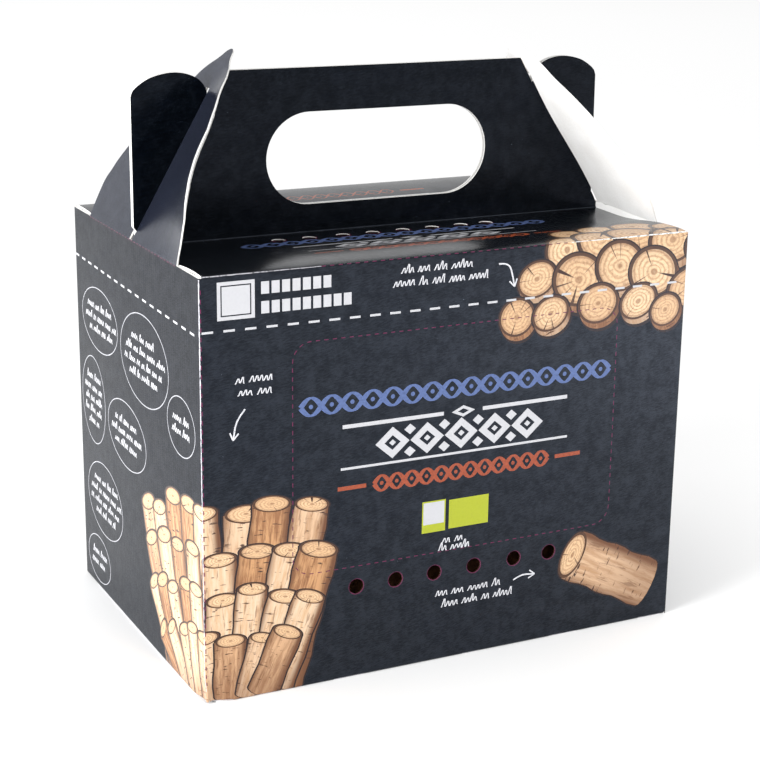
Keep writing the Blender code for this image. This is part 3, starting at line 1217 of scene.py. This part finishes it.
def title_block(boldness=1.0):
    """Bands of plain ornament: a blue braid, white lozenges between rules, and an orange braid."""
    marks = braid(-69.0, 73.0, 118.5, 3.6, 8, 0.8, 2.2, "blue")
    marks += rules(108.5, 1.6, (-51.0, -6.0), (12.0, 52.5))
    marks += lozenges(3.0, 108.5, (5.4, 2.4), (2.6, 1.1))
    for i in range(5):
        marks += lozenges(LOZENGES_U + LOZENGE_PITCH * i, LOZENGES_V, (7.6, 6.6), (3.6, 3.1), (1.5, 1.3))
    for i in range(4):
        for v in (LOZENGES_V - 4.7, LOZENGES_V + 4.7):
            marks += lozenges(LOZENGES_U + LOZENGE_PITCH * (i + 0.5), v, (2.6, 2.2))
    marks += rules(91.0, 1.0, (-51.7, 53.2))
    marks += rules(82.85, 1.7, (-53.0, -40.5), (47.5, 60.0), ink="orange")
    return marks + braid(-37.0, 44.0, 82.9, 3.2, 6, 0.8 * boldness, 2.0 * boldness, "orange")


def rules(v, thickness, *spans, ink="white"):
    """Straight rules, all about the height v. spans are their ends."""
    return [bar((u0, v - thickness / 2), (u1, v + thickness / 2), ink) for u0, u1 in spans]


LOZENGES_U = -29.0
LOZENGES_V = 99.3
LOZENGE_PITCH = 15.6


def blank_plate():
    """A square in a thin frame, and two rows of plain blocks."""
    (u0, v0), (u1, v1) = PLATE
    marks = [bar((u0 + i, v0 + i), (u1 - i, v1 - i), ink) for i, ink in PLATE_INSETS]
    for count, v in BLOCK_ROWS:
        for i in range(count):
            u = BLOCKS_U + BLOCK_PITCH * i
            marks.append(bar((u, v), (u + BLOCK_WIDTH, v + BLOCK_HEIGHT)))
    return marks


PLATE = ((-102.8, 156.6), (-87.6, 171.4))
PLATE_INSETS = ((0.0, "white"), (1.4, "slate"), (1.9, "white"))
BLOCKS_U = -85.0
BLOCK_WIDTH = 3.3
BLOCK_HEIGHT = 4.8
BLOCK_PITCH = 4.3
# Number of blocks and height of each row
BLOCK_ROWS = ((7, 165.4), (9, 157.8))


def tags():
    """Two small bare tags with a note under them."""
    marks = [bar((-15.0, 58.0), (-4.2, 71.7), "green"), bar((-14.4, 61.6), (-4.8, 71.1))]
    marks.append(bar((-2.6, 58.4), (16.0, 71.0), "green"))
    return marks + note(0.8, 53.6, (13.0,), 31) + note(0.8, 50.2, (16.0,), 32)


def bundle():
    """Upright logs in a fanned bundle round a corner of the box. The corner is at u = 0."""
    draw = random.Random(12)
    marks = []
    number = 0
    for count, low, high, height, radius in BUNDLE_ROWS:
        for i in range(count):
            top_u = low + (high - low) * (i + draw.uniform(-0.18, 0.18)) / (count - 1)
            drop = BUNDLE_ARCH * (top_u - BUNDLE_MIDDLE) ** 2
            length = height - drop + draw.uniform(-3.0, 3.0)
            foot = (BUNDLE_MIDDLE + (top_u - BUNDLE_MIDDLE) * BUNDLE_PINCH, BUNDLE_FOOT)
            lean = math.degrees(math.atan2(top_u - foot[0], length))
            thick = radius * draw.uniform(0.88, 1.1)
            marks += log(foot, math.hypot(length, top_u - foot[0]), thick, lean, number)
            number += 1
    return marks


BUNDLE_MIDDLE = 8.0
BUNDLE_PINCH = 0.62
BUNDLE_ARCH = 0.0035
BUNDLE_FOOT = 1.5
BUNDLE_ROWS = (
    (8, -60.0, 47.0, 80.0, 8.6),
    (8, -55.0, 52.0, 62.0, 8.0),
    (9, -58.0, 48.0, 44.0, 7.2),
    (8, -47.0, 38.0, 26.0, 6.2),
)


def slice_pile():
    """Cut slices of logs in a heap, which runs over the edge of the roof and round the corner."""
    draw = random.Random(5)
    marks = []
    for number, (u, v, radius) in enumerate(SLICES):
        marks += slice_of_log((u, v), radius, draw.uniform(0.74, 0.95), draw.uniform(-25, 25), number)
    return marks


SLICES = (
    (58.0, 186.0, 9.0),
    (74.0, 189.0, 10.0),
    (92.0, 190.0, 11.0),
    (108.0, 184.0, 10.0),
    (50.0, 171.0, 10.5),
    (66.0, 175.0, 11.5),
    (84.0, 177.0, 12.5),
    (102.0, 171.0, 12.0),
    (120.0, 166.0, 12.0),
    (36.0, 160.0, 9.5),
    (56.0, 158.0, 12.5),
    (76.0, 162.0, 12.0),
    (93.0, 158.0, 12.5),
    (112.0, 150.0, 12.0),
    (130.0, 152.0, 10.0),
    (27.0, 145.0, 8.5),
    (43.0, 145.0, 9.0),
    (66.0, 147.0, 10.0),
    (86.0, 146.0, 9.5),
    (100.0, 141.0, 8.0),
)


def lying_log():
    return log((98.0, 16.5), 44.0, 11.0, -63.0, 0, 0.5)


def window_line():
    """Line of the tear-out window."""
    return crease_dashes(soft_box((-72.3, 48.8), (76.0, 144.8), 8.0, 6), True)


def crease_dashes(points, closed=False):
    """Fine printed dashes that mark a crease."""
    return dashes(points, 1.75, 1.85, 0.38, "magenta", closed)


def dashed_line(half, pitch=8.8, drop=0.0):
    """White line of dashes across a wall. drop is its fall toward its end."""
    return dashes([(-half, DASHED_LINE_V), (half, DASHED_LINE_V - drop)], DASH, pitch - DASH, 0.88, "white")


DASHED_LINE_V = 152.5
DASH = 4.6
SIDE_DASH_PITCH = 9.1
SIDE_DASH_DROP = 1.9


def vent_rings(centres, radius):
    """A thin printed ring round each hole, a little out of register."""
    return [Mark(ring((u + 0.10, v - 0.08), radius + 0.28, 24), "magenta") for u, v in centres]


def vent_hole(centre, radius, seed):
    """A punched hole that isn't quite round."""
    draw = random.Random(seed)
    loop = []
    for u, v in ring(centre, radius, 22):
        share = draw.uniform(0.97, 1.03)
        loop.append((centre[0] + (u - centre[0]) * share, centre[1] + (v - centre[1]) * share))
    return loop


def fray(start, end, widths, ink, seed):
    """A broken strip along a fold. widths are at its two ends."""
    count = max(1, round(math.dist(start, end)))
    points = [tuple(Vector(start).lerp(Vector(end), i / count)) for i in range(count + 1)]
    first, last = widths
    return stroke(points, lambda t: first + (last - first) * t, ink, 0.3, seed)


def front_print():
    marks = moved(bundle(), -WALL_END, 0.0) + slice_pile() + lying_log()
    marks += blank_plate() + title_block() + tags()
    for seed, (u, v, widths, way) in enumerate(FRONT_NOTES, 1):
        marks += note(u, v, widths, seed) + arrow(way)
    marks += dashed_line(FLAT_X) + window_line()
    marks += vent_rings([(u, FRONT_VENTS_Z) for u in FRONT_VENTS_X], FRONT_VENT_RADIUS)
    return marks + front_wear()


# Middle, height, widths of the rows, and the arrow's line
FRONT_NOTES = (
    (-8.0, 169.0, (36.0, 43.0), ((18.0, 168.0), (23.0, 166.5), (25.5, 158.0))),
    (-89.0, 132.5, (14.0, 12.0), ((-92.0, 121.0), (-95.5, 116.0), (-97.0, 109.0))),
    (9.0, 30.0, (34.0, 28.0), ((29.5, 30.0), (34.0, 31.5), (40.0, 31.0))),
)


def front_wear():
    """Folds round the front: a pale line down the left corner, and scuffs along the foot."""
    fold = -FLAT_X - BEND * 0.62
    edge = -FLAT_X - BEND * 0.20
    marks = crease_dashes([(edge, 8.0), (edge, 171.0)])
    marks.append(fray((fold, 5.0), (fold, 173.0), (0.28, 0.52), "rubbed", 41))
    return marks + foot_wear(1, 0.2, 0)


def foot_wear(way, v, seed):
    """Scuffs in a row along the foot of a wall. way is -1 for the row in a mirror."""
    marks = []
    for start, end, width in FOOT_WEAR:
        left, right = sorted((way * start, way * end))
        marks.append(fray((left, v), (right, v), (width, 0.7 * width), "rubbed", start + seed))
    return marks


# From, to and width
FOOT_WEAR = (
    (-108.0, -98.0, 0.9),
    (-88.0, -80.0, 0.4),
    (-54.0, -40.0, 0.5),
    (6.0, 14.0, 0.4),
    (49.0, 63.0, 0.5),
    (95.0, 107.0, 0.6),
)


def side_print(marks, ovals, oval_seed, wear_seed, drop=0.0):
    """Side wall: the drawing that comes round the corner, notes in ovals, and wear."""
    for u, v, across, up, widths in ovals:
        marks += oval_note((u, v), (across, up), widths, round(u + oval_seed))
    marks += dashed_line(SIDE_END, SIDE_DASH_PITCH, drop)
    marks.append(fray((-60.0, 0.3), (70.0, 0.3), (0.4, 0.6), "rubbed", wear_seed))
    crease = TOP_Z - 0.3
    return marks + crease_dashes([(-FLAP_FOOT_HALF, crease), (FLAP_FOOT_HALF, crease)])


def left_print():
    return side_print(moved(bundle(), SIDE_END, 0.0), LEFT_OVALS, 200, 61, SIDE_DASH_DROP)


def right_print():
    return side_print(moved(slice_pile(), -SIDE_END - WALL_END, 0.0), RIGHT_OVALS, 500, 62)


# Middle, half width, half height and the widths of the rows in it
LEFT_OVALS = (
    (-44.0, 129.0, 25.0, 14.0, (34.0, 40.0, 30.0)),
    (14.0, 126.0, 29.0, 19.0, (30.0, 44.0, 48.0, 36.0)),
    (56.0, 110.0, 15.0, 12.0, (18.0, 20.0)),
    (-56.0, 90.0, 17.0, 20.0, (18.0, 26.0, 24.0, 26.0, 16.0)),
    (-10.0, 87.0, 25.0, 14.5, (30.0, 40.0, 32.0)),
    (-44.0, 46.0, 25.0, 17.0, (30.0, 40.0, 42.0, 28.0)),
    (-56.0, 14.0, 16.0, 11.0, (18.0, 22.0)),
)
RIGHT_OVALS = (
    (8.0, 128.0, 27.0, 17.0, (34.0, 42.0, 44.0, 30.0)),
    (52.0, 102.0, 18.0, 14.0, (20.0, 26.0, 18.0)),
    (-44.0, 103.0, 24.0, 14.0, (28.0, 38.0, 26.0)),
    (4.0, 80.0, 26.0, 16.0, (30.0, 42.0, 38.0)),
    (-48.0, 52.0, 21.0, 17.0, (22.0, 32.0, 34.0, 24.0)),
    (46.0, 48.0, 25.0, 18.0, (28.0, 40.0, 42.0, 30.0)),
    (-2.0, 26.0, 22.0, 13.0, (26.0, 34.0)),
)


def back_print():
    marks = title_block() + lying_log() + dashed_line(FLAT_X)
    for u, seed in ((-84.0, 71), (86.0, 72)):
        marks += note(u, 146.0, (28.0, 34.0, 30.0, 22.0), seed)
    for u, v, seed in BACK_NOTES:
        marks += oval_note((u, v), (24.5, 17.0), (28.0, 37.0, 38.0, 26.0), seed)
    for u, seed in ((-84.0, 81), (84.0, 82)):
        marks += note(u, 86.0, (32.0, 28.0, 30.0, 34.0, 20.0), seed)
    return marks + foot_wear(-1, 0.4, 300)


BACK_NOTES = ((-80.0, 36.0, 91), (-28.0, 38.0, 92), (24.0, 36.0, 93))


def roof_print(front):
    marks = moved(title_block(1.0 if front else 0.5), 0.0, -ROOF_TITLE_SHIFT)
    if front:
        marks += moved(slice_pile(), 0.0, -FOOT_Z)
        marks += vent_rings([(u, ROOF_VENTS_V) for u in ROOF_VENTS_X], ROOF_VENT_RADIUS)
    edge = FOLD_V + FOLD_LENGTH / 2
    marks += crease_dashes([(-60.0, edge), (52.0, edge)])
    marks.append(fray((-60.0, edge), (-ROOF_X + 0.1, edge), (0.25, 0.50), "rubbed", 51))
    marks.append(fray((52.0, edge), (ROOF_X - 0.1, edge), (0.30, 0.80), "cracked", 52))
    return marks


ROOF_TITLE_SHIFT = 59.0
ROOF_VENTS_V = roof_v(ROOF_VENTS_FROM_FRONT)


# Making the pieces


def make_sheet(name, node, slot, *sheet, **more):
    """A piece of one sheet."""
    piece = Piece()
    piece.add_sheet(*sheet, **more)
    piece.finish(name, node)


def bottom_cuts():
    """Cuts that follow the turn of a wall under the box."""
    return [BOTTOM_END + BEND * i / 4 for i in range(1, 5)]


CRUSH_CUTS = [2.0 * i for i in range(1, 8)]
CREASE_CUT = 0.8


def build_long_walls():
    corners = [side * (FLAT_X + BEND * i / 4) for i in range(4) for side in (-1, 1)]
    cuts_u = corners + every(9.0, -FLAT_X, FLAT_X)
    cuts_v = bottom_cuts() + every(9.0, CORNER_RADIUS, FOOT_Z)
    finer = (cuts_u + [near - FLAT_X for near in CRUSH_CUTS], cuts_v + CRUSH_CUTS)
    holes = [vent_hole((u, FRONT_VENTS_Z), FRONT_VENT_RADIUS, u) for u in FRONT_VENTS_X]
    front = (crushed(long_wall), wall_outline(), holes, front_print(), *finer)
    make_sheet("front_wall", "front_panel", "printed_card", *front, rim="stained_rim")
    square_cornered = half_turned(lambda u, v: long_wall(u, v, False))
    back = (square_cornered, wall_outline(SIDE_X), (), back_print(), cuts_u, cuts_v)
    make_sheet("back_wall", "back_panel", "printed_card", *back)


def build_side_walls():
    cuts_u = every(9.0, -SIDE_END, SIDE_END) + [-FLAP_FOOT_HALF, FLAP_FOOT_HALF]
    cuts_v = bottom_cuts() + every(9.0, CORNER_RADIUS, TOP_Z) + [TOP_Z - CREASE_CUT]
    finer = (cuts_u + [SIDE_END - near for near in CRUSH_CUTS], cuts_v + CRUSH_CUTS)
    left = (crushed(left_side(BEND_DEPTH, 0.0)), side_outline(), (), left_print(), *finer)
    right_place = half_turned(left_side(0.0, PUSH_DEPTH))
    right = (right_place, side_outline(-FRONT_Y - CARD), (), right_print(), cuts_u, cuts_v)
    for side, sheet in (("left", left), ("right", right)):
        name, node = side + "_wall", side + "_panel"
        make_sheet(name, node, "printed_side_card", *sheet, ground="side_slate", edge=CARD)


def build_flaps():
    cuts_u = every(5.0, -58.0, 58.0)
    cuts_v = [TOP_Z + CREASE_CUT, *every(5.0, TOP_Z, TOP_Z + FLAP_LENGTH)]
    left = left_side(BEND_DEPTH, 0.0)
    right = half_turned(left_side(0.0, PUSH_DEPTH))
    for side, place in (("left", left), ("right", right)):
        sheet = (place, flap_outline(), (), (), cuts_u, cuts_v, "flap_slate")
        make_sheet(side + "_side_flap", side + "_flap", "printed_side_card", *sheet, edge=THIN_EDGE)


def build_roofs():
    crease_start = ROOF_LENGTH - CREASE_RADIUS * math.pi / 2
    fold = [FOLD_V + FOLD_LENGTH * i / 6 for i in range(7)]
    crease = [crease_start + (ROOF_LENGTH - crease_start) * i / 5 for i in range(5)]
    cuts_v = fold + every(4.0, fold[-1], crease_start) + crease
    cuts_u = every(18.0, -ROOF_X, ROOF_X)
    holes = [vent_hole((u, ROOF_VENTS_V), ROOF_VENT_RADIUS, u + 7) for u in ROOF_VENTS_X]
    front = (front_half_roof, roof_outline(1), holes, roof_print(True), cuts_u, cuts_v)
    make_sheet("front_roof_half", "front_roof", "printed_card", *front, rim="pale_rim")
    rear = (half_turned(front_half_roof), roof_outline(-1), (), roof_print(False), cuts_u, cuts_v)
    make_sheet("rear_roof_half", "rear_roof", "printed_card", *rear)


def build_handles():
    cuts_u = every(6.0, -78.0, 78.0)
    cuts_v = every(6.0, HANDLE_FOOT_Z, HANDLE_TOP_Z)
    for node, place, pushed in (
        ("front_handle", front_half_handle, 1),
        ("rear_handle", rear_half_handle, -1),
    ):
        sheet = (place, handle_outline(pushed), (hand_hole(pushed),), (), cuts_u, cuts_v, "handle_slate")
        make_sheet(node + "_half", node, "printed_card", *sheet, edge=THIN_EDGE)


def bottom_flap_outline():
    """One of the two long bottom flaps, which hook into each other along the middle."""
    corner = SIDE_END - CORNER_SLIT
    meeting = [(62.0, 0.0), (52.0, 11.0), (10.0, 11.0), (0.0, 0.0)]
    meeting += [(-u, -v) for u, v in reversed(meeting[:-1])]
    hooks = [(BOTTOM_TIP, 0.0), *meeting, (-BOTTOM_TIP, 0.0)]
    foot = [(-BOTTOM_CORNER, -corner), (BOTTOM_CORNER, -corner)]
    return foot + [(u, v - BOTTOM_GAP) for u, v in hooks]


BOTTOM_TIP = 72.0
BOTTOM_CORNER = 105.0
BOTTOM_GAP = 0.25
BOTTOM_LAYER = 0.05
BOTTOM_PRINT = 5.0
BOTTOM_SIDE_FLAP = ((BASE_X, 73.5), (62.0, 50.0))


def build_base():
    """Bottom that locks itself: two hooked long flaps over two side flaps."""
    base = Piece()
    printed = bar((-120.0, -80.0), (120.0, -SIDE_END + BOTTOM_PRINT), "slate")
    cuts = every(20.0, -BOTTOM_CORNER, BOTTOM_CORNER)
    side = [(-u, -v) for u, v in BOTTOM_SIDE_FLAP] + [(-u, v) for u, v in reversed(BOTTOM_SIDE_FLAP)]
    for turn in (lambda place: place, half_turned):
        base.add_sheet(turn(underside(0.0)), bottom_flap_outline(), (), (printed,), cuts, ground="board")
        base.add_sheet(turn(underside(CARD + BOTTOM_LAYER)), side, ground="board")
    base.finish("base_flaps", "base_panel")


def build_bag():
    """Bagged block: a soft brick under drawn film."""
    steps = 64
    rows = steps // 2
    draw = random.Random(8)
    spans = ((0, 2 * math.pi), (2, 7), (0.3, 1.0))
    creases = [[draw.uniform(*span) for span in spans] for _ in range(BAG_CREASES)]
    points, faces = [], []
    for row in range(rows + 1):
        for column in range(steps):
            points.append(bag_point(2 * math.pi * column / steps, math.pi * (row / rows - 0.5), creases))
    for row in range(rows):
        for column in range(steps):
            a, b = row * steps + column, row * steps + (column + 1) % steps
            faces.append((a, b, b + steps, a + steps))
    bag = add_mesh("bagged_block", [MM * p for p in points], faces, [bag_film()])
    bag.data.polygons.foreach_set("use_smooth", [True] * len(faces))
    settle(bag, "substrate_bag")


def bag_point(angle, tilt, creases):
    """Rounded brick, a little slack between its corners and sagging on top."""
    across, along_y, up = (
        math.copysign(abs(value) ** BAG_SQUARE, value)
        for value in (math.cos(angle) * math.cos(tilt), math.sin(angle) * math.cos(tilt), math.sin(tilt))
    )
    ripple = sum(depth * math.sin(2 * waves * angle + start) for start, waves, depth in creases)
    slack = 1 - BAG_SLACK * ripple
    half_x, half_y, half_z = BAG_HALF
    x, y = across * half_x * slack, along_y * half_y * slack
    limit = max(abs(across), abs(along_y))
    waves_x, waves_y = BAG_SAG_WAVES
    sag = BAG_SAG * math.cos(x * waves_x) * math.cos(y * waves_y) if up > BAG_TOP_FROM else 0.0
    return Vector((x, y, BAG_FOOT_Z + half_z * (1 + up) - sag * (1 - limit**4)))


def add_object(name, data):
    """A new object in the scene."""
    made = bpy.data.objects.new(name, data)
    bpy.context.scene.collection.objects.link(made)
    return made


def add_mesh(name, points, faces, materials):
    mesh = bpy.data.meshes.new(name)
    mesh.from_pydata(points, [], faces)
    for material in materials:
        mesh.materials.append(material)
    return add_object(name, mesh)


def build_studio():
    """Wide pale floor, a white surround and soft lights."""
    look = Look("floor", 0.9, 0.0)
    look.set("Base Color", FLOOR_WHITE)
    half = FLOOR_HALF
    corners = [(-half, -half, 0.0), (half, -half, 0.0), (half, half, 0.0), (-half, half, 0.0)]
    add_mesh("floor", corners, [(0, 1, 2, 3)], [look.material])
    world = bpy.data.worlds.new("studio")
    world.use_nodes = True
    background = world.node_tree.nodes["Background"]
    background.inputs["Color"].default_value = (1.0, 1.0, 1.0, 1.0)
    background.inputs["Strength"].default_value = WORLD_STRENGTH
    bpy.context.scene.world = world
    for name, place, target, size, power in LIGHTS:
        lamp = bpy.data.lights.new(name, "AREA")
        lamp.shape = "DISK"
        lamp.size = size
        lamp.energy = power
        made = add_object(name, lamp)
        made.visible_camera = False
        made.location = place
        made.rotation_mode = "QUATERNION"
        made.rotation_quaternion = (Vector(target) - Vector(place)).to_track_quat("-Z", "Y")


FLOOR_HALF = 8.0
FLOOR_WHITE = (0.93, 0.93, 0.93, 1.0)
WORLD_STRENGTH = 0.90
# Name, place, point that it faces, size and power
LIGHTS = (
    ("backdrop", (0.4, 2.6, 3.0), (0.4, 2.8, 0.0), 4.4, 24.0),
    ("left", (-1.2, -0.35, 0.35), (0.0, 0.0, 0.15), 0.6, 24.0),
    ("right", (0.60, -0.50, 0.30), (0.60, -0.50, 0.0), 0.3, 3.5),
)


def build_camera():
    """Camera that looks at its target from an azimuth and elevation, turned a little about its axis."""
    azimuth, elevation, roll = (math.radians(a) for a in CAMERA_ANGLES)
    turn = Matrix.Rotation(azimuth, 4, "Z") @ Matrix.Rotation(math.pi / 2 - elevation, 4, "X")
    away = Matrix.Translation((0.0, 0.0, MM * CAMERA_DISTANCE))
    lens = bpy.data.cameras.new("camera")
    lens.lens = CAMERA_LENS
    lens.sensor_width = 36.0
    lens.clip_start = 0.05
    camera = add_object("camera", lens)
    target = Matrix.Translation(MM * Vector(CAMERA_TARGET))
    camera.matrix_world = target @ turn @ away @ Matrix.Rotation(roll, 4, "Z")
    bpy.context.scene.camera = camera


CAMERA_ANGLES = (-26.494, 16.265, 0.730)
CAMERA_TARGET = (3.9, 0.0, 100.6)
CAMERA_DISTANCE = 806.0
CAMERA_LENS = 86.02

build_camera()
build_studio()
build_long_walls()
build_side_walls()
build_roofs()
build_handles()
build_flaps()
build_base()
build_bag()
bpy.context.scene.view_settings.view_transform = "Standard"
